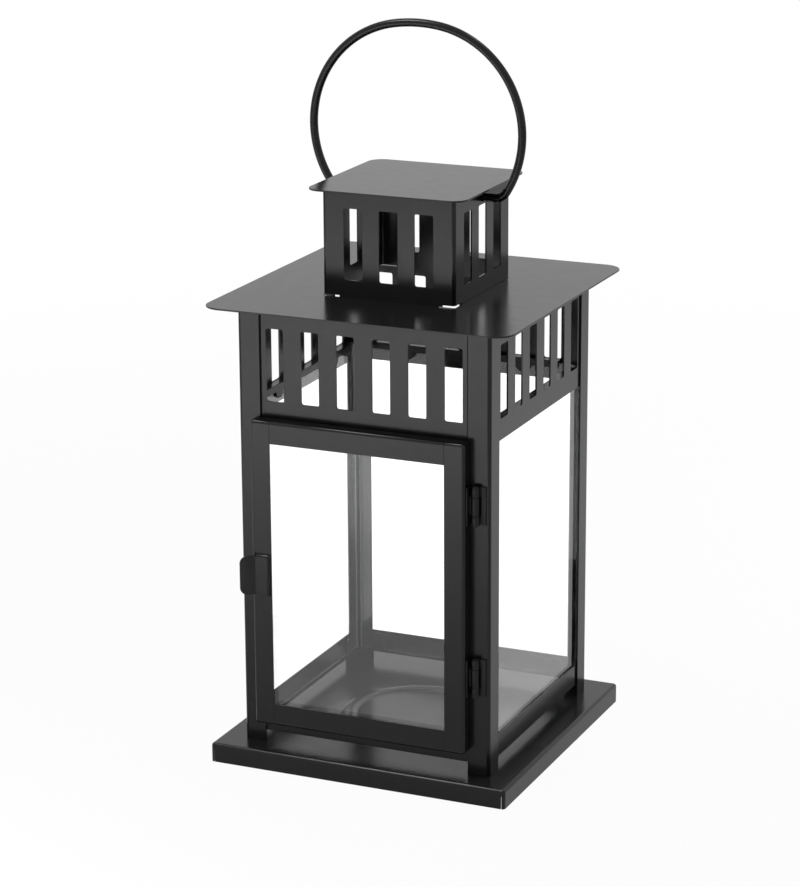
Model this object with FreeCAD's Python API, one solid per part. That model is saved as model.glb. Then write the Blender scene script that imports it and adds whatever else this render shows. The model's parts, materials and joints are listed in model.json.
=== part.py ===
import FreeCAD, Part
import math
import os

# Grave lantern: a square body of folded sheet metal with glass on four sides, a hinged glass door,
# a slotted band under a flat roof, a slotted chimney with a flat cap, and a round wire bail.
# Millimetres. +Z is up, -Y is the door's side, and the origin is the middle of the base on the ground.

# Sheet metal and play
SHEET = 0.8                # thickness of every metal sheet
FOLD = 0.8                 # inside radius of a fold
RUNNING_FIT = 0.05         # radial play of a hinge pin
GLASS_PLAY = 0.1           # play on each side of a pane between the faces that hold it
EDGE_GAP = 0.4             # space left between neighbours that must not rub

# Base tray
BASE_WIDTH = 155.2
BASE_HEIGHT = 9.7
BASE_SEAM = 0.35           # open joint where two skirts meet at a corner
SEAT_RING_RADIUS = 34.5    # pressed ring that locates the candle, to the middle of the bead
SEAT_RING_WIDTH = 8.0
SEAT_RING_HEIGHT = 1.0

# Body
BODY_WIDTH = 129.5         # across the outer faces of the corner posts
POST_LEG = 11.3
POST_HEIGHT = 219.2        # from the base to the underside of the roof
RAIL_AIR_GAP = 5.7         # air inlet between the base and the low rails
RAIL_HEIGHT = 10.8
RAIL_END_GAP = 1.3         # from the end of a rail or panel to the post leg across its end
LIP_END_GAP = 3.0          # from the end of a lip or flange to the edge of the opening
VENT_HEIGHT = 56.1         # slotted band, from its lower edge to the roof
VENT_FLANGE = 7.0          # flange folded inwards under the roof

# Slots of the vent band and of the chimney
SLOT_CORNER = 1.0
VENT_SLOT_COUNT = 6
VENT_SLOT_WIDTH = 9.2
VENT_END_BAR = 2.95        # bar showing between a post and the first slot
VENT_LOWER_BORDER = 10.3
VENT_UPPER_BORDER = 10.2

# Glass and its holders
GLASS = 3.0
GLASS_CORNER_GAP = 1.0     # between two panes at a corner
TAB_WIDTH = 8.0            # tongues and clips that hold a pane
TAB_CORNER = 3.5
LOW_TAB_HEIGHT = 10.3      # from the underside of a rail's lip to the end of its tongues
LOW_TAB_INSET = 5.6        # from the edge of the opening to the middle of a rail's tongue
CHANNEL_DROP = 0.2         # from the lower ends of the slots to the top of the channel under them
CHANNEL_LIP = 3.6          # depth of the channel's inner lip
HIGH_TAB_HEIGHT = 7.4      # from the top of the channel to the end of its tongues
HIGH_TAB_SPREAD = 31.5     # from the middle of a vent panel to the middle of a channel's tongue

# Roof, chimney and cap
ROOF_WIDTH = 156.5
ROOF_CORNER = 10.0
CHIMNEY_WIDTH = 68.2
CHIMNEY_HEIGHT = 51.5      # from the top of the roof to the underside of the cap
CHIMNEY_SLOT_COUNT = 3
CHIMNEY_SLOT_WIDTH = 9.7
CHIMNEY_CORNER_BAR = 11.0  # from the chimney's corner to the first slot
CHIMNEY_LOWER_BORDER = 8.4
CHIMNEY_UPPER_BORDER = 8.4
CHIMNEY_NOTCH_WIDTH = 8.5  # open notch at each end of a wall's foot
CHIMNEY_NOTCH_HEIGHT = 0.7
CHIMNEY_FLANGE = 5.0       # flanges under the cap and under the roof
CHIMNEY_HOLE_PLAY = 0.1    # around the chimney's tabs in the roof hole
CAP_WIDTH = 81.2
CAP_CORNER = 7.5

# Bail
WIRE = 4.0
BAIL_HALF_WIDTH = 54.0     # to the middle of the wire at the widest place
BAIL_SIDE_RADIUS = 50.5
BAIL_TOP_RADIUS = 72.0
BAIL_RISE = 30.2           # from the pivot up to the widest place
BAIL_BEND = 6.0            # radius of the bend from the ring to the pivot end
BAIL_TAIL = 6.0            # pivot end inside the chimney wall
BAIL_HOLE_PLAY = 0.3       # radial play of the pivot end in its hole
BAIL_HOLE_EDGE = 1.0       # metal left between the hole and the slot under it

# Door
DOOR_DEPTH = 6.6
DOOR_GAP = 0.4             # between the closed door and the posts
DOOR_LATCH_LAP = 2.5       # lap over the post on the latch side
DOOR_HINGE_LAP = 1.1       # lap over the post on the hinge side
DOOR_SILL_LAP = 4.6        # lap over the front sill
DOOR_HEAD_LAP = 2.6        # lap over the vent panel
DOOR_STILE = 10.3
DOOR_RAIL = 11.1
DOOR_TAB = 5.0             # reach of a rail's tab behind the stile
DOOR_GLASS_EDGE = 1.9      # from the edge of the body's opening to the edge of the door's glass
DOOR_GLASS_LAP = 4.5       # height of glass behind a door rail
DOOR_CLIP_INSET = 22.0     # from the end of a door rail to the middle of a clip
DOOR_CLIP_FOOT = 3.6       # height of a clip's welded foot
DOOR_CLIP_REACH = 3.0      # height of a clip's finger over the glass

# Latch and catch
LATCH_HEIGHT = 20.9
LATCH_DEPTH = 1.8          # from the stile's face to the front of the latch
LATCH_SETBACK = 2.9        # from the door's edge to the bend of the finger tab
LATCH_MARGIN = 0.6         # stile face left bare beside the latch
LATCH_TAB = 7.3            # flared finger tab
LATCH_FLARE = 38.0         # degrees
LATCH_CORNER = 3.5
CATCH_HEIGHT = 12.0
CATCH_REACH = 10.2         # from the back of the stile's face into the body

# Hinges
HINGE_HEIGHT = 18.6
UPPER_HINGE_DROP = 30.7    # from the door's top edge to the middle of the upper hinge
LOWER_HINGE_RISE = 38.1    # from the door's bottom edge to the middle of the lower hinge
HINGE_REACH = 3.6          # from the door's edge to the hinge axis
KNUCKLE_RADIUS = 1.9
KNUCKLE_GAP = 0.25         # between a knuckle and the post
KNUCKLE_SPLIT = 0.15       # end play between knuckles
HINGE_PIN_RADIUS = 0.9
PIN_HEAD_RADIUS = 1.5
PIN_HEAD_HEIGHT = 0.6
LEAF_MARGIN = 1.7          # from a hinge leaf to the outer face of the post

# Levels and lines that follow from these sizes
BASE_HALF = BASE_WIDTH / 2
BODY_HALF = BODY_WIDTH / 2
OPENING_HALF = BODY_HALF - POST_LEG
WALL_OUTER = BODY_HALF - SHEET
WALL_INNER = WALL_OUTER - SHEET
WALL_END = WALL_OUTER - RAIL_END_GAP - SHEET
ROOF_UNDERSIDE = BASE_HEIGHT + POST_HEIGHT
ROOF_TOP = ROOF_UNDERSIDE + SHEET
RAIL_BOTTOM = BASE_HEIGHT + RAIL_AIR_GAP
RAIL_TOP = RAIL_BOTTOM + RAIL_HEIGHT
VENT_BOTTOM = ROOF_UNDERSIDE - VENT_HEIGHT
VENT_SLOT_BOTTOM = VENT_BOTTOM + VENT_LOWER_BORDER
CHANNEL_TOP = VENT_SLOT_BOTTOM - CHANNEL_DROP
LIP_HALF = OPENING_HALF - LIP_END_GAP
LOW_TAB_SPREAD = OPENING_HALF - LOW_TAB_INSET
PANE_OUTER = WALL_INNER - GLASS_PLAY
PANE_INNER = PANE_OUTER - GLASS
HOLDER_OUTER = PANE_INNER - GLASS_PLAY
HOLDER_INNER = HOLDER_OUTER - SHEET
PANE_BOTTOM = RAIL_BOTTOM + SHEET
PANE_TOP = CHANNEL_TOP - SHEET - EDGE_GAP
PANE_HALF = PANE_INNER - GLASS_CORNER_GAP
CHIMNEY_HALF = CHIMNEY_WIDTH / 2
CHIMNEY_INNER = CHIMNEY_HALF - SHEET
CAP_UNDERSIDE = ROOF_TOP + CHIMNEY_HEIGHT
CHIMNEY_SLOT_TOP = CAP_UNDERSIDE - CHIMNEY_UPPER_BORDER
BAIL_HOLE_RADIUS = WIRE / 2 + BAIL_HOLE_PLAY
PIVOT_HEIGHT = CHIMNEY_SLOT_TOP + BAIL_HOLE_EDGE + BAIL_HOLE_RADIUS
DOOR_BACK = -BODY_HALF - DOOR_GAP
DOOR_FRONT = DOOR_BACK - DOOR_DEPTH
DOOR_FACE_BACK = DOOR_FRONT + SHEET
DOOR_LEFT = -OPENING_HALF - DOOR_LATCH_LAP
DOOR_RIGHT = OPENING_HALF + DOOR_HINGE_LAP
DOOR_BOTTOM = RAIL_TOP - DOOR_SILL_LAP
DOOR_TOP = VENT_BOTTOM + DOOR_HEAD_LAP
DOOR_GLASS_BACK = DOOR_FACE_BACK + GLASS_PLAY + GLASS
DOOR_GLASS_HALF = OPENING_HALF - DOOR_GLASS_EDGE
DOOR_GLASS_BOTTOM = DOOR_BOTTOM + DOOR_RAIL - DOOR_GLASS_LAP
DOOR_GLASS_TOP = DOOR_TOP - DOOR_RAIL + DOOR_GLASS_LAP
DOOR_MIDDLE = (DOOR_BOTTOM + DOOR_TOP) / 2
HINGE_X = DOOR_RIGHT + HINGE_REACH
HINGE_Y = -BODY_HALF - KNUCKLE_GAP - KNUCKLE_RADIUS
UPPER_HINGE = DOOR_TOP - UPPER_HINGE_DROP
LOWER_HINGE = DOOR_BOTTOM + LOWER_HINGE_RISE

# A cutting tool reaches this far past the face that it cuts, and values nearer than this count as equal
PAST = 5.0
NEAR = 1e-6
X_AXIS = FreeCAD.Vector(1, 0, 0)
Y_AXIS = FreeCAD.Vector(0, 1, 0)
Z_AXIS = FreeCAD.Vector(0, 0, 1)
ORIGIN = FreeCAD.Vector(0, 0, 0)

# Sides and corners in the order that quarter turns about Z bring the first to the others
SIDES = ("front", "right", "back", "left")
CORNERS = ("front_right", "back_right", "back_left", "front_left")
PANE_SIDES = ("left", "right", "back")


def point(x, y, z):
    return FreeCAD.Vector(x, y, z)


def block(x, y, z):
    """A box from the low and high value on each axis, given in either order."""
    low = point(min(x), min(y), min(z))
    high = point(max(x), max(y), max(z))
    size = high - low
    return Part.makeBox(size.x, size.y, size.z, low)


def runs_along(edge, axis):
    """True for a straight edge parallel to an axis."""
    return edge.tangentAt(edge.FirstParameter).cross(axis).Length < NEAR


def lies_at(edge, axis, value):
    """True for an edge whose ends both have this value along an axis."""
    return all(abs(vertex.Point.dot(axis) - value) < NEAR for vertex in edge.Vertexes)


def round_edges(shape, radius, chosen):
    """Round the edges that a test picks out."""
    return shape.makeFillet(radius, [edge for edge in shape.Edges if chosen(edge)])


def turned(shape, quarters):
    """A copy turned about Z by quarter turns."""
    return shape.rotated(ORIGIN, Z_AXIS, 90 * quarters)


def joined(shapes):
    """One solid from solids that share faces or volume."""
    return shapes[0].fuse(shapes[1:]).removeSplitter()


def window(middle, width, low, high, y):
    """A cutter for an upright slot with rounded corners through a wall that faces Y."""
    cutter = block((middle - width / 2, middle + width / 2), y, (low, high))
    return round_edges(cutter, SLOT_CORNER, lambda edge: runs_along(edge, Y_AXIS))


def slot_middles(count, half_span, width):
    """Middles of slots spaced evenly between the outer edges of the first and the last."""
    first = -half_span + width / 2
    pitch = -2 * first / (count - 1)
    return [first + pitch * index for index in range(count)]


def tongue(middle, y, low, high, rounded_end):
    """An upright strip with two rounded corners at its free end."""
    strip = block((middle - TAB_WIDTH / 2, middle + TAB_WIDTH / 2), y, (low, high))
    return round_edges(strip, TAB_CORNER,
                       lambda edge: runs_along(edge, Y_AXIS) and lies_at(edge, Z_AXIS, rounded_end))


def flat_plate(width, corner, bottom):
    """A square sheet with rounded corners."""
    half = width / 2
    sheet = block((-half, half), (-half, half), (bottom, bottom + SHEET))
    return round_edges(sheet, corner, lambda edge: runs_along(edge, Z_AXIS))


def bead(bottom):
    """A ring whose section is a low circular arc standing on a level."""
    inside = point(SEAT_RING_RADIUS - SEAT_RING_WIDTH / 2, 0, bottom)
    crown = point(SEAT_RING_RADIUS, 0, bottom + SEAT_RING_HEIGHT)
    outside = point(SEAT_RING_RADIUS + SEAT_RING_WIDTH / 2, 0, bottom)
    section = Part.Wire([Part.Arc(inside, crown, outside).toShape(),
                         Part.LineSegment(outside, inside).toShape()])
    return Part.Face(section).revolve(ORIGIN, Z_AXIS, 360)


def base_tray():
    """An inverted tray: a flat top with folded skirts, open corner seams and a pressed seat ring."""
    inner_half = BASE_HALF - SHEET
    inner_top = BASE_HEIGHT - SHEET
    outer = block((-BASE_HALF, BASE_HALF), (-BASE_HALF, BASE_HALF), (0, BASE_HEIGHT))
    outer = round_edges(outer, FOLD + SHEET,
                        lambda edge: runs_along(edge, Z_AXIS) or lies_at(edge, Z_AXIS, BASE_HEIGHT))
    hollow = block((-inner_half, inner_half), (-inner_half, inner_half), (-PAST, inner_top))
    hollow = round_edges(hollow, FOLD,
                         lambda edge: runs_along(edge, Z_AXIS) or lies_at(edge, Z_AXIS, inner_top))
    tray = outer.cut(hollow)
    tray = tray.fuse(bead(BASE_HEIGHT)).cut(bead(inner_top))
    seam_top = BASE_HEIGHT - 2 * (FOLD + SHEET)
    seam_end = BASE_HALF - FOLD - SHEET
    seam = block((seam_end - BASE_SEAM, seam_end), (-BASE_HALF - PAST, -inner_half + PAST), (-PAST, seam_top))
    mirrored = seam.mirror(ORIGIN, X_AXIS)
    return tray.cut([seam, mirrored, turned(seam, 2), turned(mirrored, 2)]).removeSplitter()


def corner_post(corner):
    """A folded angle that stands on the base and carries the roof."""
    inside = BODY_HALF - SHEET
    edge_line = BODY_HALF - POST_LEG
    outer = block((edge_line, BODY_HALF), (-edge_line, -BODY_HALF), (BASE_HEIGHT, ROOF_UNDERSIDE))
    outer = round_edges(outer, FOLD + SHEET, lambda edge: runs_along(edge, Z_AXIS)
                        and lies_at(edge, X_AXIS, BODY_HALF) and lies_at(edge, Y_AXIS, -BODY_HALF))
    hollow = block((edge_line - PAST, inside), (-edge_line + PAST, -inside),
                   (BASE_HEIGHT - PAST, ROOF_UNDERSIDE + PAST))
    hollow = round_edges(hollow, FOLD, lambda edge: runs_along(edge, Z_AXIS)
                         and lies_at(edge, X_AXIS, inside) and lies_at(edge, Y_AXIS, -inside))
    return turned(outer.cut(hollow), CORNERS.index(corner))


def low_rail(side, holds_glass):
    """A low wall between two posts, with a lip folded inwards and, under a pane, two upright tongues."""
    wall = block((-WALL_END, WALL_END), (-WALL_OUTER, -WALL_INNER), (RAIL_BOTTOM, RAIL_TOP))
    lip = block((-LIP_HALF, LIP_HALF), (-WALL_INNER, -HOLDER_INNER), (RAIL_BOTTOM, RAIL_BOTTOM + SHEET))
    pieces = [wall, lip]
    if holds_glass:
        tongue_top = RAIL_BOTTOM + LOW_TAB_HEIGHT
        for middle in (-LOW_TAB_SPREAD, LOW_TAB_SPREAD):
            pieces.append(tongue(middle, (-HOLDER_OUTER, -HOLDER_INNER), RAIL_BOTTOM, tongue_top, tongue_top))
    return turned(joined(pieces), SIDES.index(side))


def vent_panel(side):
    """A slotted wall under the roof, with a flange folded inwards along its top."""
    wall = block((-WALL_END, WALL_END), (-WALL_OUTER, -WALL_INNER), (VENT_BOTTOM, ROOF_UNDERSIDE))
    flange = block((-LIP_HALF, LIP_HALF), (-WALL_INNER, -WALL_INNER + VENT_FLANGE),
                   (ROOF_UNDERSIDE - SHEET, ROOF_UNDERSIDE))
    slots = [window(middle, VENT_SLOT_WIDTH, VENT_SLOT_BOTTOM, ROOF_UNDERSIDE - VENT_UPPER_BORDER,
                    (-WALL_OUTER - PAST, -WALL_INNER + PAST))
             for middle in slot_middles(VENT_SLOT_COUNT, OPENING_HALF - VENT_END_BAR, VENT_SLOT_WIDTH)]
    return turned(joined([wall, flange]).cut(slots), SIDES.index(side))


def glass_pane(side):
    """A clear pane that stands on a rail's lip and reaches up into the channel on the vent panel."""
    pane = block((-PANE_HALF, PANE_HALF), (-PANE_OUTER, -PANE_INNER), (PANE_BOTTOM, PANE_TOP))
    return turned(pane, SIDES.index(side))


def glass_channel(side):
    """A folded strip on a vent panel's inner face: a shelf over the pane's edge, a lip and two tongues."""
    tongue_end = CHANNEL_TOP - HIGH_TAB_HEIGHT
    lip_y = (-HOLDER_OUTER, -HOLDER_INNER)
    shelf = block((-LIP_HALF, LIP_HALF), (-WALL_INNER, -HOLDER_INNER), (CHANNEL_TOP - SHEET, CHANNEL_TOP))
    lip = block((-LIP_HALF, LIP_HALF), lip_y, (CHANNEL_TOP - CHANNEL_LIP, CHANNEL_TOP))
    tongues = [tongue(middle, lip_y, tongue_end, CHANNEL_TOP, tongue_end)
               for middle in (-HIGH_TAB_SPREAD, HIGH_TAB_SPREAD)]
    return turned(joined([shelf, lip] + tongues), SIDES.index(side))


def roof_plate():
    """A flat roof with a square flue hole that the chimney's tabs pass through."""
    hole_half = CHIMNEY_HALF + CHIMNEY_HOLE_PLAY
    hole = block((-hole_half, hole_half), (-hole_half, hole_half), (ROOF_UNDERSIDE - PAST, ROOF_TOP + PAST))
    return flat_plate(ROOF_WIDTH, ROOF_CORNER, ROOF_UNDERSIDE).cut(hole)


def square_tube(half, low, high, radius):
    """A square prism with rounded upright edges."""
    prism = block((-half, half), (-half, half), (low, high))
    return round_edges(prism, radius, lambda edge: runs_along(edge, Z_AXIS))


def chimney_box():
    """A folded square tube with slots, a flange under the cap and tabs folded out under the roof."""
    foot = ROOF_TOP + CHIMNEY_NOTCH_HEIGHT
    tube = square_tube(CHIMNEY_HALF, foot, CAP_UNDERSIDE, FOLD + SHEET)
    flue = square_tube(CHIMNEY_INNER, foot - PAST, CAP_UNDERSIDE + PAST, FOLD)
    tab_half = CHIMNEY_HALF - CHIMNEY_NOTCH_WIDTH
    tab = block((-tab_half, tab_half), (-CHIMNEY_HALF, -CHIMNEY_INNER), (ROOF_UNDERSIDE - SHEET, foot))
    under = block((-tab_half, tab_half), (-CHIMNEY_HALF - CHIMNEY_FLANGE, -CHIMNEY_INNER),
                  (ROOF_UNDERSIDE - SHEET, ROOF_UNDERSIDE))
    top = block((-tab_half, tab_half), (-CHIMNEY_INNER, -CHIMNEY_INNER + CHIMNEY_FLANGE),
                (CAP_UNDERSIDE - SHEET, CAP_UNDERSIDE))
    side_pieces = [turned(piece, quarter) for quarter in range(4) for piece in (tab, under, top)]
    slot_half_span = CHIMNEY_HALF - CHIMNEY_CORNER_BAR
    slots = [window(middle, CHIMNEY_SLOT_WIDTH, ROOF_TOP + CHIMNEY_LOWER_BORDER, CHIMNEY_SLOT_TOP,
                    (-CHIMNEY_HALF - PAST, CHIMNEY_HALF + PAST))
             for middle in slot_middles(CHIMNEY_SLOT_COUNT, slot_half_span, CHIMNEY_SLOT_WIDTH)]
    slots += [turned(slot, 1) for slot in slots]
    pivot_holes = Part.makeCylinder(BAIL_HOLE_RADIUS, CHIMNEY_WIDTH + 2 * PAST,
                                    point(-CHIMNEY_HALF - PAST, 0, PIVOT_HEIGHT), X_AXIS)
    return joined([tube.cut(flue)] + side_pieces).cut(slots + [pivot_holes]).removeSplitter()


def arc_edge(middle, radius, start_angle, end_angle):
    """An arc in the XZ plane. Angles are in radians from +X towards +Z."""
    def at(angle):
        return middle + point(radius * math.cos(angle), 0, radius * math.sin(angle))
    return Part.Arc(at(start_angle), at((start_angle + end_angle) / 2), at(end_angle)).toShape()


def bail_handle():
    """A wire ring of two side arcs and a flatter top arc, with ends bent in through the chimney walls."""
    side_x = BAIL_HALF_WIDTH - BAIL_SIDE_RADIUS
    side = point(side_x, 0, PIVOT_HEIGHT + BAIL_RISE)
    radius_step = BAIL_TOP_RADIUS - BAIL_SIDE_RADIUS
    top_start = math.acos(side_x / radius_step)
    top_middle = point(0, 0, side.z - radius_step * math.sin(top_start))
    # The bend touches the pivot line and, from inside, the side arc
    bend_from_side = BAIL_SIDE_RADIUS - BAIL_BEND
    bend_drop = BAIL_RISE - BAIL_BEND
    bend_angle = -math.asin(bend_drop / bend_from_side)
    bend = point(side_x + bend_from_side * math.cos(bend_angle), 0, PIVOT_HEIGHT + BAIL_BEND)
    end = point(CHIMNEY_INNER - BAIL_TAIL, 0, PIVOT_HEIGHT)
    right_half = [Part.LineSegment(end, point(bend.x, 0, PIVOT_HEIGHT)).toShape(),
                  arc_edge(bend, BAIL_BEND, -math.pi / 2, bend_angle),
                  arc_edge(side, BAIL_SIDE_RADIUS, bend_angle, top_start)]
    crown = arc_edge(top_middle, BAIL_TOP_RADIUS, top_start, math.pi - top_start)
    left_half = [edge.mirror(ORIGIN, X_AXIS) for edge in reversed(right_half)]
    path = Part.Wire(Part.sortEdges(right_half + [crown] + left_half)[0])
    section = Part.Wire([Part.Circle(end, X_AXIS, WIRE / 2).toShape()])
    return path.makePipeShell([section], True, False)


def folded_frame_piece(x, z, cavity_x, cavity_z, outside):
    """A door member: a face and its folded rims, hollow at the back.

    outside lists the axis and value of each outer side, whose edges are rounded where they meet the face.
    """
    solid = block(x, (DOOR_FRONT, DOOR_BACK), z)

    def is_fold(edge):
        sides = [(axis, value) for axis, value in outside if lies_at(edge, axis, value)]
        return len(sides) == 2 or (len(sides) == 1 and lies_at(edge, Y_AXIS, DOOR_FRONT))
    solid = round_edges(solid, FOLD + SHEET, is_fold)
    return solid.cut(block(cavity_x, (DOOR_FACE_BACK, DOOR_BACK + PAST), cavity_z))


def door_stile(outer, inward):
    """An upright of the door with its rim on the outer side and closed ends. inward is +1 or -1 along X."""
    inner = outer + inward * DOOR_STILE
    outside = [(X_AXIS, outer), (Z_AXIS, DOOR_BOTTOM), (Z_AXIS, DOOR_TOP)]
    return folded_frame_piece((outer, inner), (DOOR_BOTTOM, DOOR_TOP),
                              (outer + inward * SHEET, inner + inward * PAST),
                              (DOOR_BOTTOM + SHEET, DOOR_TOP - SHEET), outside)


def door_rail(outer, inward, glass_edge):
    """A rail between the stiles with its rim on the outer side and a tab behind each stile."""
    left = DOOR_LEFT + DOOR_STILE
    right = DOOR_RIGHT - DOOR_STILE
    inner = outer + inward * DOOR_RAIL
    rail = folded_frame_piece((left, right), (outer, inner), (left - PAST, right + PAST),
                              (outer + inward * SHEET, inner + inward * PAST), [(Z_AXIS, outer)])
    tab_y = (DOOR_FACE_BACK, DOOR_FACE_BACK + SHEET)
    tab_z = (outer + inward * (SHEET + EDGE_GAP), glass_edge - inward * EDGE_GAP)
    tabs = [block((left - DOOR_TAB, left + DOOR_TAB), tab_y, tab_z),
            block((right - DOOR_TAB, right + DOOR_TAB), tab_y, tab_z)]
    return joined([rail] + tabs)


def door_glass():
    """The door's pane, behind the faces of the stiles and rails."""
    return block((-DOOR_GLASS_HALF, DOOR_GLASS_HALF), (DOOR_FACE_BACK + GLASS_PLAY, DOOR_GLASS_BACK),
                 (DOOR_GLASS_BOTTOM, DOOR_GLASS_TOP))


def door_clip(middle, web_level, away):
    """A bent clip: a foot welded to a rail, a web over the pane's edge and a finger behind the pane.

    away is +1 where the pane lies above the web, else -1.
    """
    behind = DOOR_GLASS_BACK + GLASS_PLAY
    across = (middle - TAB_WIDTH / 2, middle + TAB_WIDTH / 2)
    web_far = web_level - away * SHEET
    foot_end = web_level - away * DOOR_CLIP_FOOT
    finger_end = web_level + away * (EDGE_GAP + DOOR_CLIP_REACH)
    foot = block(across, (DOOR_FACE_BACK, DOOR_FACE_BACK + SHEET), (web_level, foot_end))
    web = block(across, (DOOR_FACE_BACK, behind + SHEET), (web_level, web_far))
    finger = block(across, (behind, behind + SHEET), (web_far, finger_end))
    return joined([foot, web, finger])


def door_glass_clips():
    """Four clips on the backs of the door rails, two above the glass and two below it."""
    left = DOOR_LEFT + DOOR_STILE + DOOR_CLIP_INSET
    right = DOOR_RIGHT - DOOR_STILE - DOOR_CLIP_INSET
    clips = []
    for middle in (left, right):
        clips.append(door_clip(middle, DOOR_GLASS_TOP + EDGE_GAP, -1))
        clips.append(door_clip(middle, DOOR_GLASS_BOTTOM - EDGE_GAP, 1))
    return Part.makeCompound(clips)


def bent_strip(path, thickness, low, high):
    """A strip folded along a path in the XY plane. Positive thickness goes to the right of the path."""
    section = path.makeOffset2D(thickness, 0, True, True)
    section.translate(point(0, 0, low))
    return section.extrude(point(0, 0, high - low))


def door_latch():
    """A shallow folded cover on the latch stile, whose free end flares forward as a finger tab."""
    low, high = DOOR_MIDDLE - LATCH_HEIGHT / 2, DOOR_MIDDLE + LATCH_HEIGHT / 2
    left, right = DOOR_LEFT + LATCH_SETBACK, DOOR_LEFT + DOOR_STILE - LATCH_MARGIN
    front = DOOR_FRONT - LATCH_DEPTH
    cover = block((left, right), (front, DOOR_FRONT), (low, high))
    cover = round_edges(cover, FOLD + SHEET,
                        lambda edge: lies_at(edge, Y_AXIS, front) and not lies_at(edge, X_AXIS, left))
    hollow = block((left - PAST, right - SHEET), (front + SHEET, DOOR_FRONT + PAST),
                   (low + SHEET, high - SHEET))
    flare = math.radians(LATCH_FLARE)
    bend_middle = point(left, front - FOLD, 0)

    def on_bend(angle):
        return bend_middle + point(-FOLD * math.sin(angle), FOLD * math.cos(angle), 0)
    bend_end = on_bend(flare)
    tip = bend_end + point(-LATCH_TAB * math.cos(flare), -LATCH_TAB * math.sin(flare), 0)
    path = Part.Wire([Part.Arc(on_bend(0), on_bend(flare / 2), bend_end).toShape(),
                      Part.LineSegment(bend_end, tip).toShape()])
    tab = bent_strip(path, SHEET, low + FOLD, high - FOLD)
    across = point(-math.sin(flare), math.cos(flare), 0)
    tab = round_edges(tab, LATCH_CORNER,
                      lambda edge: runs_along(edge, across) and edge.CenterOfMass.x < tip.x + SHEET)
    return joined([cover.cut(hollow), tab])


def door_catch():
    """A spring strip on the back of the latch stile that reaches in beside the edge of the post."""
    spring_x = -OPENING_HALF + EDGE_GAP
    low, high = DOOR_MIDDLE - CATCH_HEIGHT / 2, DOOR_MIDDLE + CATCH_HEIGHT / 2
    foot = block((DOOR_LEFT + SHEET + EDGE_GAP, spring_x + SHEET),
                 (DOOR_FACE_BACK, DOOR_FACE_BACK + SHEET), (low, high))
    leaf = block((spring_x, spring_x + SHEET), (DOOR_FACE_BACK, DOOR_FACE_BACK + CATCH_REACH), (low, high))
    return joined([foot, leaf])


def knuckle(low, high):
    """A hinge barrel with its bore."""
    start = point(HINGE_X, HINGE_Y, low)
    barrel = Part.makeCylinder(KNUCKLE_RADIUS, high - low, start, Z_AXIS)
    return barrel, Part.makeCylinder(HINGE_PIN_RADIUS + RUNNING_FIT, high - low, start, Z_AXIS)


def hinge_levels(middle):
    """The levels of a hinge: bottom, both ends of the middle knuckle, and top."""
    bottom = middle - HINGE_HEIGHT / 2
    quarter = HINGE_HEIGHT / 4
    return bottom, bottom + quarter, bottom + 3 * quarter, bottom + HINGE_HEIGHT


def hinge_post_leaf(middle):
    """The leaf on the post, which carries the upper and lower knuckles."""
    bottom, low, high, top = hinge_levels(middle)
    plate_y = (-BODY_HALF, -BODY_HALF - SHEET)
    clear_x = HINGE_X + KNUCKLE_RADIUS + EDGE_GAP
    leaf = block((clear_x, BODY_HALF - LEAF_MARGIN), plate_y, (bottom, top))
    solids = [leaf]
    bores = []
    for start, end in ((bottom, low), (high, top)):
        barrel, bore = knuckle(start, end)
        neck = block((HINGE_X, clear_x), (-BODY_HALF - KNUCKLE_GAP, -BODY_HALF - SHEET), (start, end))
        solids += [barrel, neck]
        bores.append(bore)
    return joined(solids).cut(bores)


def hinge_door_leaf(middle):
    """The leaf on the door's rim, which carries the middle knuckle."""
    bottom, low, high, top = hinge_levels(middle)
    barrel, bore = knuckle(low + KNUCKLE_SPLIT, high - KNUCKLE_SPLIT)
    arm = block((DOOR_RIGHT, HINGE_X), (HINGE_Y - SHEET / 2, HINGE_Y + SHEET / 2),
                (low + KNUCKLE_SPLIT, high - KNUCKLE_SPLIT))
    foot = block((DOOR_RIGHT, DOOR_RIGHT + SHEET),
                 (DOOR_FRONT + FOLD + SHEET, HINGE_Y + SHEET / 2), (bottom, top))
    return joined([barrel, arm, foot]).cut(bore)


def hinge_pin(middle):
    """A pin with a head at each end."""
    bottom, low, high, top = hinge_levels(middle)
    shaft = Part.makeCylinder(HINGE_PIN_RADIUS, top - bottom, point(HINGE_X, HINGE_Y, bottom), Z_AXIS)
    heads = [Part.makeCylinder(PIN_HEAD_RADIUS, PIN_HEAD_HEIGHT, point(HINGE_X, HINGE_Y, level), Z_AXIS)
             for level in (bottom - PIN_HEAD_HEIGHT, top)]
    return joined([shaft] + heads)


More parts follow.
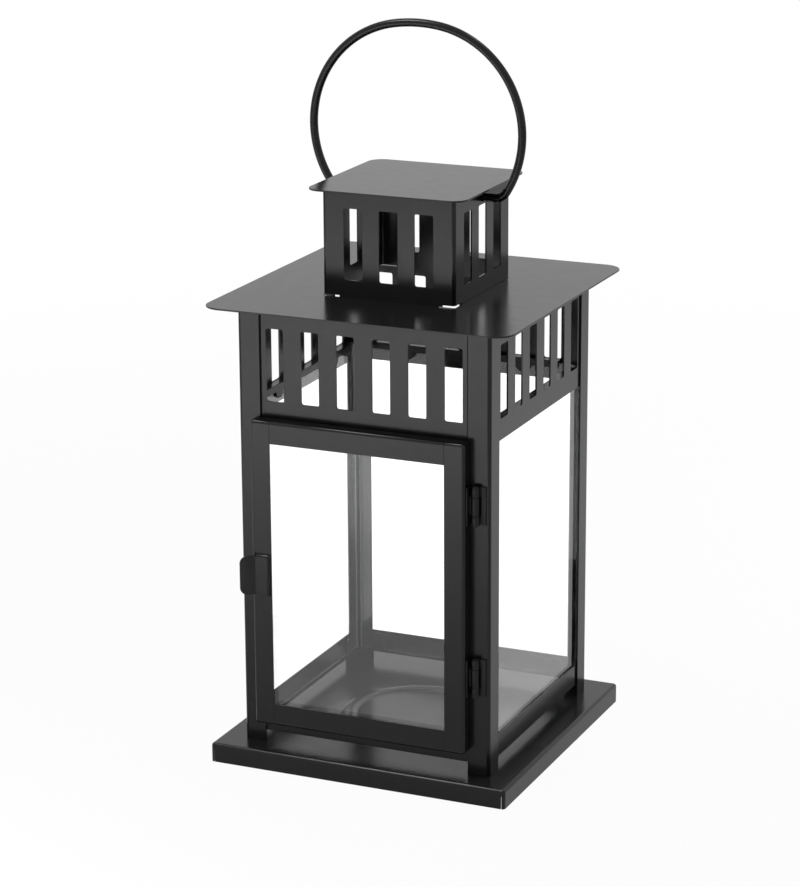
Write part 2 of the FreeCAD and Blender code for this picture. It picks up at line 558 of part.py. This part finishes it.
def all_pieces():
    """Every piece by its node's name."""
    pieces = {"base_tray": base_tray(), "front_sill": low_rail("front", False)}
    for corner in CORNERS:
        pieces["corner_post_" + corner] = corner_post(corner)
    for side in SIDES:
        pieces["vent_panel_" + side] = vent_panel(side)
    for side in PANE_SIDES:
        pieces[side + "_rail"] = low_rail(side, True)
        pieces["glass_" + side] = glass_pane(side)
        pieces["glass_channel_" + side] = glass_channel(side)
    pieces["roof_plate"] = roof_plate()
    pieces["chimney_box"] = chimney_box()
    pieces["chimney_cap"] = flat_plate(CAP_WIDTH, CAP_CORNER, CAP_UNDERSIDE)
    pieces["bail_handle"] = bail_handle()
    pieces["door_stile_left"] = door_stile(DOOR_LEFT, 1)
    pieces["door_stile_right"] = door_stile(DOOR_RIGHT, -1)
    pieces["door_rail_top"] = door_rail(DOOR_TOP, -1, DOOR_GLASS_TOP)
    pieces["door_rail_bottom"] = door_rail(DOOR_BOTTOM, 1, DOOR_GLASS_BOTTOM)
    pieces["door_glass"] = door_glass()
    pieces["door_glass_clips"] = door_glass_clips()
    pieces["door_latch"] = door_latch()
    pieces["door_catch"] = door_catch()
    for place, middle in (("upper", UPPER_HINGE), ("lower", LOWER_HINGE)):
        pieces[place + "_hinge_post_leaf"] = hinge_post_leaf(middle)
        pieces[place + "_hinge_door_leaf"] = hinge_door_leaf(middle)
        pieces[place + "_hinge_pin"] = hinge_pin(middle)
    return pieces


os.makedirs("parts", exist_ok=True)
for name, shape in all_pieces().items():
    shape.exportStep("parts/" + name + ".step")
    print(name, len(shape.Solids), "solid", "volume", round(shape.Volume, 2), "valid", shape.isValid())
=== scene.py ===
import json
import math
import bpy
from mathutils import Matrix, Vector


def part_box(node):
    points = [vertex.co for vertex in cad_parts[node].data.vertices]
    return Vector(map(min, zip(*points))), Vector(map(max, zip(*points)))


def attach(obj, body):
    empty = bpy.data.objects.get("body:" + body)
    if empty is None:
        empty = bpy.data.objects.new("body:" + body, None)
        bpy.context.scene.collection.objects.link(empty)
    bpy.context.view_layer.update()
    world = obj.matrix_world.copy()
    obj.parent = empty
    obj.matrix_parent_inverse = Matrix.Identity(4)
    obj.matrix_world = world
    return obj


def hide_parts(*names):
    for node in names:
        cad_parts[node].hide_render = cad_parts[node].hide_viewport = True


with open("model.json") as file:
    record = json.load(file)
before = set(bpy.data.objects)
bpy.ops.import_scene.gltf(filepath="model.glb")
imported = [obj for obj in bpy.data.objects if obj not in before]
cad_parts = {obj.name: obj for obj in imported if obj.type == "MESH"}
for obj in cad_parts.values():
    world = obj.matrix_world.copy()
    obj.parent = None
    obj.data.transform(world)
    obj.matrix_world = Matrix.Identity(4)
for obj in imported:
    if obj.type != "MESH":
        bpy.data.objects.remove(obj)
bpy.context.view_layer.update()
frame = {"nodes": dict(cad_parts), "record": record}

# Grave lantern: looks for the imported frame. Metres, +Z up, the door faces -Y.
MM = 0.001
slot_of = {part["node"]: part["material_slot"] for part in frame["record"]["subparts"]}
body_of = {node: body for body, nodes in frame["record"]["behaviour"]["bodies"].items() for node in nodes}

# Coated sheet
COAT_ROUNDING = 0.15 * MM                 # radius that the coat gives a cut edge
ROUNDING_STEPS = 2
FOLD_ANGLE = math.radians(40)             # a sharper turn than this is an edge
FLATNESS = math.radians(0.5)              # faces that turn less than this are one face
SAME_PLACE = 0.001 * MM
SQUARE_ON = 0.9999                        # how nearly a sheet's flat face looks along an axis
ROUND_STOCK = ("black_wire", "black_hinge")

# Creases in the coat of the slotted panels
CREASE_WIDTH = 0.45 * MM
CREASE_DEPTH = 0.4 * MM
CREASE_OFFSET = 0.3 * MM                  # from the post's edge
CREASE_END = 2.5 * MM                     # from the panel's lower edge and its fold

# Panes
ARRIS = 0.4 * MM                          # width of the seamed edge
ACROSS_PANE = 0.9                         # how nearly a clear face looks across the pane

# Patterns of the finishes, in millimetres from crest to crest
FILM_PATCH = 35                           # where the coat's film is thicker or thinner
GLOSS_PATCH = 6
PEEL = 2.4                                # really about 1 mm, drawn coarser so that it shows
RIBBON_WAVE = 60                          # left in float glass by drawing the ribbon
GRIND = 1.5
PEEL_DEPTH = 0.02 * MM
RIBBON_WAVE_DEPTH = 0.05 * MM
RESIN_IOR = 1.5
SATIN_MIRROR = 0.25                       # half of the resin's own 0.5, because matting grains break it up
GLASS_IOR = 1.5

# Stage: a pale paper floor that fades to white, and a studio that is bright at the back and dim in front
FLOOR_SIZE = 12.0
WHITE = "#ffffff"
PAPER = "#b8b8b8"
FLOOR_IN_VIEW = 0.96                      # share of plain white near the object, the rest keeps its shadow
FADE_START, FADE_END = 0.25, 1.2          # metres from the object, where the paper fades to plain white
FLOOR_IN_GLOSS = 0.6                      # share of plain white over the paper in mirror reflections
STUDIO_IN_GLOSS = 0.82                    # the same over the studio
WHITE_THROUGH_GLASS = 1.3                 # brightness of plain white seen straight through a pane
STUDIO_FRONT, STUDIO_BACK = 0.15, 0.6     # brightness of the studio's two ends
STUDIO_AXIS = (-0.1, 0.99, 0.1)           # towards the bright end
DIM_UP_TO, BRIGHT_FROM = -0.6, 0.4        # along that axis, from -1 in front to 1 at the back

# Camera, in the photograph's frame
PHOTO_HEIGHT = 887                        # pixels, the long side
FOCAL_PIXELS = 3074.6
SENSOR = 36.0                             # millimetres, along the long side
CAMERA_PLACE = Vector((0.5778, -1.3252, 0.5744))
CAMERA_TURN = math.radians(23.905)        # from the front towards the hinge side
CAMERA_DIP = math.radians(16.342)
CAMERA_ROLL = math.radians(-0.325)


def linear(hex_colour):
    """Linear colour of an sRGB hex value."""
    channels = [int(hex_colour[start:start + 2], 16) / 255 for start in (1, 3, 5)]
    curve = [c / 12.92 if c <= 0.04045 else ((c + 0.055) / 1.055) ** 2.4 for c in channels]
    return (*curve, 1.0)


def per_mm(size):
    """Texture scale that gives a pattern of this size in millimetres."""
    return 1 / (size * MM)


def add_node(tree, kind, settings=(), links=()):
    """Add a shader node, set its fields and sockets, and link the sockets that are fed."""
    node = tree.nodes.new(kind)
    for name, value in dict(settings).items():
        if isinstance(name, int) or name in node.inputs:
            node.inputs[name].default_value = value
        else:
            setattr(node, name, value)
    for name, source in dict(links).items():
        tree.links.new(source, node.inputs[name])
    return node


def new_material(name):
    """An empty node material and its tree."""
    material = bpy.data.materials.new(name)
    material.use_nodes = True
    material.node_tree.nodes.clear()
    return material, material.node_tree


def polyester_coat(name, dark, light, smooth, rough):
    """Satin polyester powder coat on steel. It flows in the oven to a faint orange peel, so its gloss is
    soft and a little uneven, its cut edges are rounded, and its black shifts with the film's thickness."""
    material, tree = new_material(name)
    place = add_node(tree, "ShaderNodeTexCoord").outputs["Object"]
    film = add_node(tree, "ShaderNodeTexNoise", {"Scale": per_mm(FILM_PATCH), "Detail": 2.0},
                    {"Vector": place})
    tone = add_node(tree, "ShaderNodeValToRGB", links={"Fac": film.outputs["Fac"]})
    tone.color_ramp.elements[0].color = linear(dark)
    tone.color_ramp.elements[1].color = linear(light)
    patch = add_node(tree, "ShaderNodeTexNoise", {"Scale": per_mm(GLOSS_PATCH), "Detail": 4.0},
                     {"Vector": place})
    gloss = add_node(tree, "ShaderNodeMapRange", {"To Min": smooth, "To Max": rough},
                     {"Value": patch.outputs["Fac"]})
    peel = add_node(tree, "ShaderNodeTexNoise", {"Scale": per_mm(PEEL), "Detail": 1.0},
                    {"Vector": place})
    bump = add_node(tree, "ShaderNodeBump", {"Strength": 0.08, "Distance": PEEL_DEPTH},
                    {"Height": peel.outputs["Fac"]})
    shader = add_node(tree, "ShaderNodeBsdfPrincipled",
                      {"IOR": RESIN_IOR, "Specular IOR Level": SATIN_MIRROR},
                      {"Base Color": tone.outputs["Color"], "Roughness": gloss.outputs["Result"],
                       "Normal": bump.outputs["Normal"]})
    add_node(tree, "ShaderNodeOutputMaterial", links={"Surface": shader.outputs["BSDF"]})
    return material


def float_glass(name):
    """Clear float glass: flat, bright and almost without colour across its thickness. Long shallow waves
    bend its reflections a little."""
    material, tree = new_material(name)
    place = add_node(tree, "ShaderNodeTexCoord").outputs["Object"]
    wave = add_node(tree, "ShaderNodeTexNoise", {"Scale": per_mm(RIBBON_WAVE), "Detail": 0.0},
                    {"Vector": place})
    bump = add_node(tree, "ShaderNodeBump", {"Strength": 0.05, "Distance": RIBBON_WAVE_DEPTH},
                    {"Height": wave.outputs["Fac"]})
    shader = add_node(tree, "ShaderNodeBsdfPrincipled",
                      {"Base Color": linear(WHITE), "Roughness": 0.0, "IOR": GLASS_IOR,
                       "Transmission Weight": 1.0},
                      {"Normal": bump.outputs["Normal"]})
    add_node(tree, "ShaderNodeOutputMaterial", links={"Surface": shader.outputs["BSDF"]})
    return material


def seamed_glass(name):
    """The cut and seamed edge of a pane: silky, and green-grey because light runs the long way through."""
    material, tree = new_material(name)
    place = add_node(tree, "ShaderNodeTexCoord").outputs["Object"]
    grind = add_node(tree, "ShaderNodeTexNoise", {"Scale": per_mm(GRIND), "Detail": 3.0},
                     {"Vector": place})
    tone = add_node(tree, "ShaderNodeValToRGB", links={"Fac": grind.outputs["Fac"]})
    tone.color_ramp.elements[0].color = linear("#b2c0bb")
    tone.color_ramp.elements[1].color = linear("#c2cecb")
    shader = add_node(tree, "ShaderNodeBsdfPrincipled",
                      {"Roughness": 0.12, "IOR": GLASS_IOR, "Transmission Weight": 0.75},
                      {"Base Color": tone.outputs["Color"]})
    add_node(tree, "ShaderNodeOutputMaterial", links={"Surface": shader.outputs["BSDF"]})
    return material


# The enamels on wire, hinges and strip are the same kind of coat: a deeper black, and dull on the hinges.
# On the hinges that deeper black is partly painted shade
FINISHES = {
    "black_powder_coat": polyester_coat("polyester_powder_coat", "#171718", "#1c1c1d",
                                        smooth=0.17, rough=0.25),
    "black_wire": polyester_coat("wire_enamel", "#0e0e0f", "#131314", smooth=0.18, rough=0.26),
    # The hinges' deeper black is partly painted shade, standing in for the door rim's shadow over them
    "black_hinge": polyester_coat("hinge_enamel_and_painted_shade", "#0e0e0f", "#131314", smooth=0.4, rough=0.5),
    "black_spring_strip": polyester_coat("strip_enamel", "#141415", "#19191a", smooth=0.22, rough=0.3),
}
GLASS = float_glass("float_glass")
GLASS_EDGE = seamed_glass("seamed_glass_edge")


def only(piece):
    """Make one object the only selected and active one."""
    bpy.ops.object.select_all(action="DESELECT")
    piece.select_set(True)
    bpy.context.view_layer.objects.active = piece


def block(middle, size):
    """A new block of this size, with its place in its mesh."""
    bpy.ops.object.select_all(action="DESELECT")
    bpy.ops.mesh.primitive_cube_add(size=1, location=middle)
    piece = bpy.context.object
    piece.scale = size
    bpy.ops.object.transform_apply(location=True, rotation=True, scale=True)
    return piece


def work_all(operator, **settings):
    """Use one edit-mode operator on the whole of the active piece."""
    bpy.ops.object.mode_set(mode="EDIT")
    bpy.ops.mesh.select_all(action="SELECT")
    operator(**settings)
    bpy.ops.object.mode_set(mode="OBJECT")


def in_place(piece, node):
    """A finished piece stands for its node and rides on its body."""
    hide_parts(node)
    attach(piece, body_of[node])


def crease(piece, node):
    """Sink the narrow crease that the coat leaves on a slotted panel beside each post's edge."""
    low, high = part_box(node)
    along = 0 if high.x - low.x > high.y - low.y else 1
    across = 1 - along
    post_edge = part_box("corner_post_front_right")[0].x
    size = Vector((2 * CREASE_DEPTH, 2 * CREASE_DEPTH, high.z - low.z - 2 * CREASE_END))
    size[along] = CREASE_WIDTH
    middle = (low + high) / 2
    middle[across] = high[across] if middle[across] > 0 else low[across]
    for side in (1, -1):
        middle[along] = side * (post_edge - CREASE_OFFSET - CREASE_WIDTH / 2)
        bar = block(middle, size)
        only(piece)
        cut = piece.modifiers.new("crease", "BOOLEAN")
        cut.operation = "DIFFERENCE"
        cut.solver = "EXACT"
        cut.object = bar
        bpy.ops.object.modifier_apply(modifier=cut.name)
        bpy.data.objects.remove(bar)


def round_edges(piece):
    """Round the edges of the active piece as the coat does."""
    rounding = piece.modifiers.new("rounding", "BEVEL")
    rounding.width = COAT_ROUNDING
    rounding.segments = ROUNDING_STEPS
    rounding.limit_method = "ANGLE"
    rounding.angle_limit = FOLD_ANGLE
    bpy.ops.object.modifier_apply(modifier=rounding.name)


def flatten_sheet(piece):
    """Shade flat the faces of the active piece that look along an axis."""
    bpy.ops.object.mode_set(mode="EDIT")
    bpy.ops.mesh.select_all(action="DESELECT")
    bpy.ops.object.mode_set(mode="OBJECT")
    for face in piece.data.polygons:
        face.select = max(map(abs, face.normal)) > SQUARE_ON
    bpy.ops.object.mode_set(mode="EDIT")
    bpy.ops.mesh.faces_shade_flat()
    bpy.ops.object.mode_set(mode="OBJECT")


def coated(node):
    """A copy of a metal piece whose cut edges are rounded by the coat."""
    piece = bpy.data.objects.new("coated_" + node, frame["nodes"][node].data.copy())
    bpy.context.collection.objects.link(piece)
    only(piece)
    bpy.ops.mesh.customdata_custom_splitnormals_clear()
    work_all(bpy.ops.mesh.remove_doubles, threshold=SAME_PLACE)
    work_all(bpy.ops.mesh.dissolve_limited, angle_limit=FLATNESS)
    if node.startswith("vent_panel_"):
        crease(piece, node)
    round_edges(piece)
    work_all(bpy.ops.mesh.remove_doubles, threshold=SAME_PLACE)
    work_all(bpy.ops.mesh.quads_convert_to_tris, quad_method="BEAUTY", ngon_method="BEAUTY")
    bpy.ops.object.shade_smooth_by_angle(angle=FOLD_ANGLE)
    if slot_of[node] not in ROUND_STOCK:
        flatten_sheet(piece)
    piece.data.materials.clear()
    piece.data.materials.append(FINISHES[slot_of[node]])
    in_place(piece, node)


def pane(node):
    """A pane with seamed edges."""
    low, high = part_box(node)
    size = high - low
    piece = block((low + high) / 2, size)
    piece.name = "pane_" + node
    work_all(bpy.ops.mesh.bevel, offset=ARRIS, segments=1)
    piece.data.materials.append(GLASS)
    piece.data.materials.append(GLASS_EDGE)
    thin = min(range(3), key=lambda axis: size[axis])
    for face in piece.data.polygons:
        face.material_index = 0 if abs(face.normal[thin]) > ACROSS_PANE else 1
    in_place(piece, node)


for node, slot in slot_of.items():
    if slot == "clear_glass":
        pane(node)
    else:
        coated(node)


def plain_white(tree, in_gloss, fade=None):
    """Share and brightness of plain white for rays from the camera, off gloss and through glass.
    A fade thins it in view."""
    path = add_node(tree, "ShaderNodeLightPath").outputs
    in_view = path["Is Camera Ray"]
    if fade:
        in_view = add_node(tree, "ShaderNodeMath", {"operation": "MULTIPLY"},
                           {0: in_view, 1: fade}).outputs["Value"]
    mirrored = add_node(tree, "ShaderNodeMath", {"operation": "MULTIPLY_ADD", 1: in_gloss},
                        {0: path["Is Glossy Ray"], 2: in_view})
    share = add_node(tree, "ShaderNodeMath", {"operation": "ADD", "use_clamp": True},
                     {0: path["Is Transmission Ray"], 1: mirrored.outputs["Value"]})
    off_gloss = add_node(tree, "ShaderNodeMath", {"operation": "MINIMUM", 1: 1.0},
                         {0: path["Glossy Depth"]})
    straight = add_node(tree, "ShaderNodeMath", {"operation": "SUBTRACT", "use_clamp": True},
                        {0: path["Is Transmission Ray"], 1: off_gloss.outputs["Value"]})
    brightness = add_node(tree, "ShaderNodeMath",
                          {"operation": "MULTIPLY_ADD", 1: WHITE_THROUGH_GLASS - 1, 2: 1.0},
                          {0: straight.outputs["Value"]})
    return share.outputs["Value"], brightness.outputs["Value"]


def floor_paper(name):
    """Pale matt paper. It keeps a faint shadow near the object and fades to plain white further off."""
    material, tree = new_material(name)
    place = add_node(tree, "ShaderNodeTexCoord").outputs["Object"]
    away = add_node(tree, "ShaderNodeVectorMath", {"operation": "LENGTH"}, {0: place})
    fade = add_node(tree, "ShaderNodeMapRange",
                    {"interpolation_type": "SMOOTHSTEP", "From Min": FADE_START, "From Max": FADE_END,
                     "To Min": FLOOR_IN_VIEW, "To Max": 1.0},
                    {"Value": away.outputs["Value"]})
    sheet = add_node(tree, "ShaderNodeBsdfDiffuse", {"Color": linear(PAPER)})
    share, brightness = plain_white(tree, FLOOR_IN_GLOSS, fade.outputs["Result"])
    glow = add_node(tree, "ShaderNodeEmission", {"Color": linear(WHITE)}, {"Strength": brightness})
    cover = add_node(tree, "ShaderNodeMixShader",
                     links={0: share, 1: sheet.outputs["BSDF"], 2: glow.outputs["Emission"]})
    add_node(tree, "ShaderNodeOutputMaterial", links={"Surface": cover.outputs["Shader"]})
    return material


def studio(name):
    """A room that is bright at the back and dim in front, with plain white where it is seen."""
    world = bpy.data.worlds.new(name)
    world.use_nodes = True
    tree = world.node_tree
    tree.nodes.clear()
    direction = add_node(tree, "ShaderNodeTexCoord").outputs["Generated"]
    towards_back = add_node(tree, "ShaderNodeVectorMath", {"operation": "DOT_PRODUCT", 1: STUDIO_AXIS},
                            {0: direction})
    level = add_node(tree, "ShaderNodeMapRange",
                     {"interpolation_type": "SMOOTHSTEP", "From Min": DIM_UP_TO, "From Max": BRIGHT_FROM,
                      "To Min": STUDIO_FRONT, "To Max": STUDIO_BACK},
                     {"Value": towards_back.outputs["Value"]})
    room = add_node(tree, "ShaderNodeBackground", {"Color": linear(WHITE)},
                    {"Strength": level.outputs["Result"]})
    share, brightness = plain_white(tree, STUDIO_IN_GLOSS)
    backdrop = add_node(tree, "ShaderNodeBackground", {"Color": linear(WHITE)}, {"Strength": brightness})
    seen = add_node(tree, "ShaderNodeMixShader",
                    links={0: share, 1: room.outputs["Background"], 2: backdrop.outputs["Background"]})
    add_node(tree, "ShaderNodeOutputWorld", links={"Surface": seen.outputs["Shader"]})
    return world


def softbox(name, place, aim, size, watts, spread):
    """A square soft light that faces a point. Its spread is in degrees."""
    bpy.ops.object.light_add(type="AREA", location=place)
    lamp = bpy.context.object
    lamp.name = name
    lamp.rotation_euler = (Vector(place) - Vector(aim)).to_track_quat("Z", "Y").to_euler()
    lamp.data.size = size
    lamp.data.energy = watts
    lamp.data.spread = math.radians(spread)


bpy.ops.object.select_all(action="DESELECT")
bpy.ops.mesh.primitive_plane_add(size=FLOOR_SIZE, location=(0, 0, 0))
floor = bpy.context.object
floor.name = "floor"
floor.data.materials.append(floor_paper("floor_paper"))
bpy.context.scene.world = studio("studio")
softbox("overhead_softbox", place=(-0.55, -0.4, 1.4), aim=(0, 0, 0.2),
        size=0.4, watts=2.8, spread=120)
softbox("front_floor_softbox", place=(-0.38, -0.9, 1.1), aim=(-0.38, -0.9, 0),
        size=0.5, watts=38.0, spread=70)
softbox("back_floor_softbox", place=(0.4, 0.5, 1.1), aim=(0.4, 0.5, 0),
        size=0.5, watts=3.2, spread=70)

# Camera: its axes in the world, before and after the roll
back = Vector((math.sin(CAMERA_TURN) * math.cos(CAMERA_DIP),
               -math.cos(CAMERA_TURN) * math.cos(CAMERA_DIP),
               math.sin(CAMERA_DIP)))
right = Vector((math.cos(CAMERA_TURN), math.sin(CAMERA_TURN), 0))
up = back.cross(right)
rolled_right = right * math.cos(CAMERA_ROLL) + up * math.sin(CAMERA_ROLL)
rolled_up = up * math.cos(CAMERA_ROLL) - right * math.sin(CAMERA_ROLL)
camera_data = bpy.data.cameras.new("camera")
camera_data.sensor_width = SENSOR
camera_data.lens = FOCAL_PIXELS * SENSOR / PHOTO_HEIGHT
camera = bpy.data.objects.new("camera", camera_data)
bpy.context.collection.objects.link(camera)
camera.matrix_world = (Matrix.Translation(CAMERA_PLACE)
                       @ Matrix((rolled_right, rolled_up, back)).transposed().to_4x4())
bpy.context.scene.camera = camera
bpy.context.scene.view_settings.view_transform = "Standard"
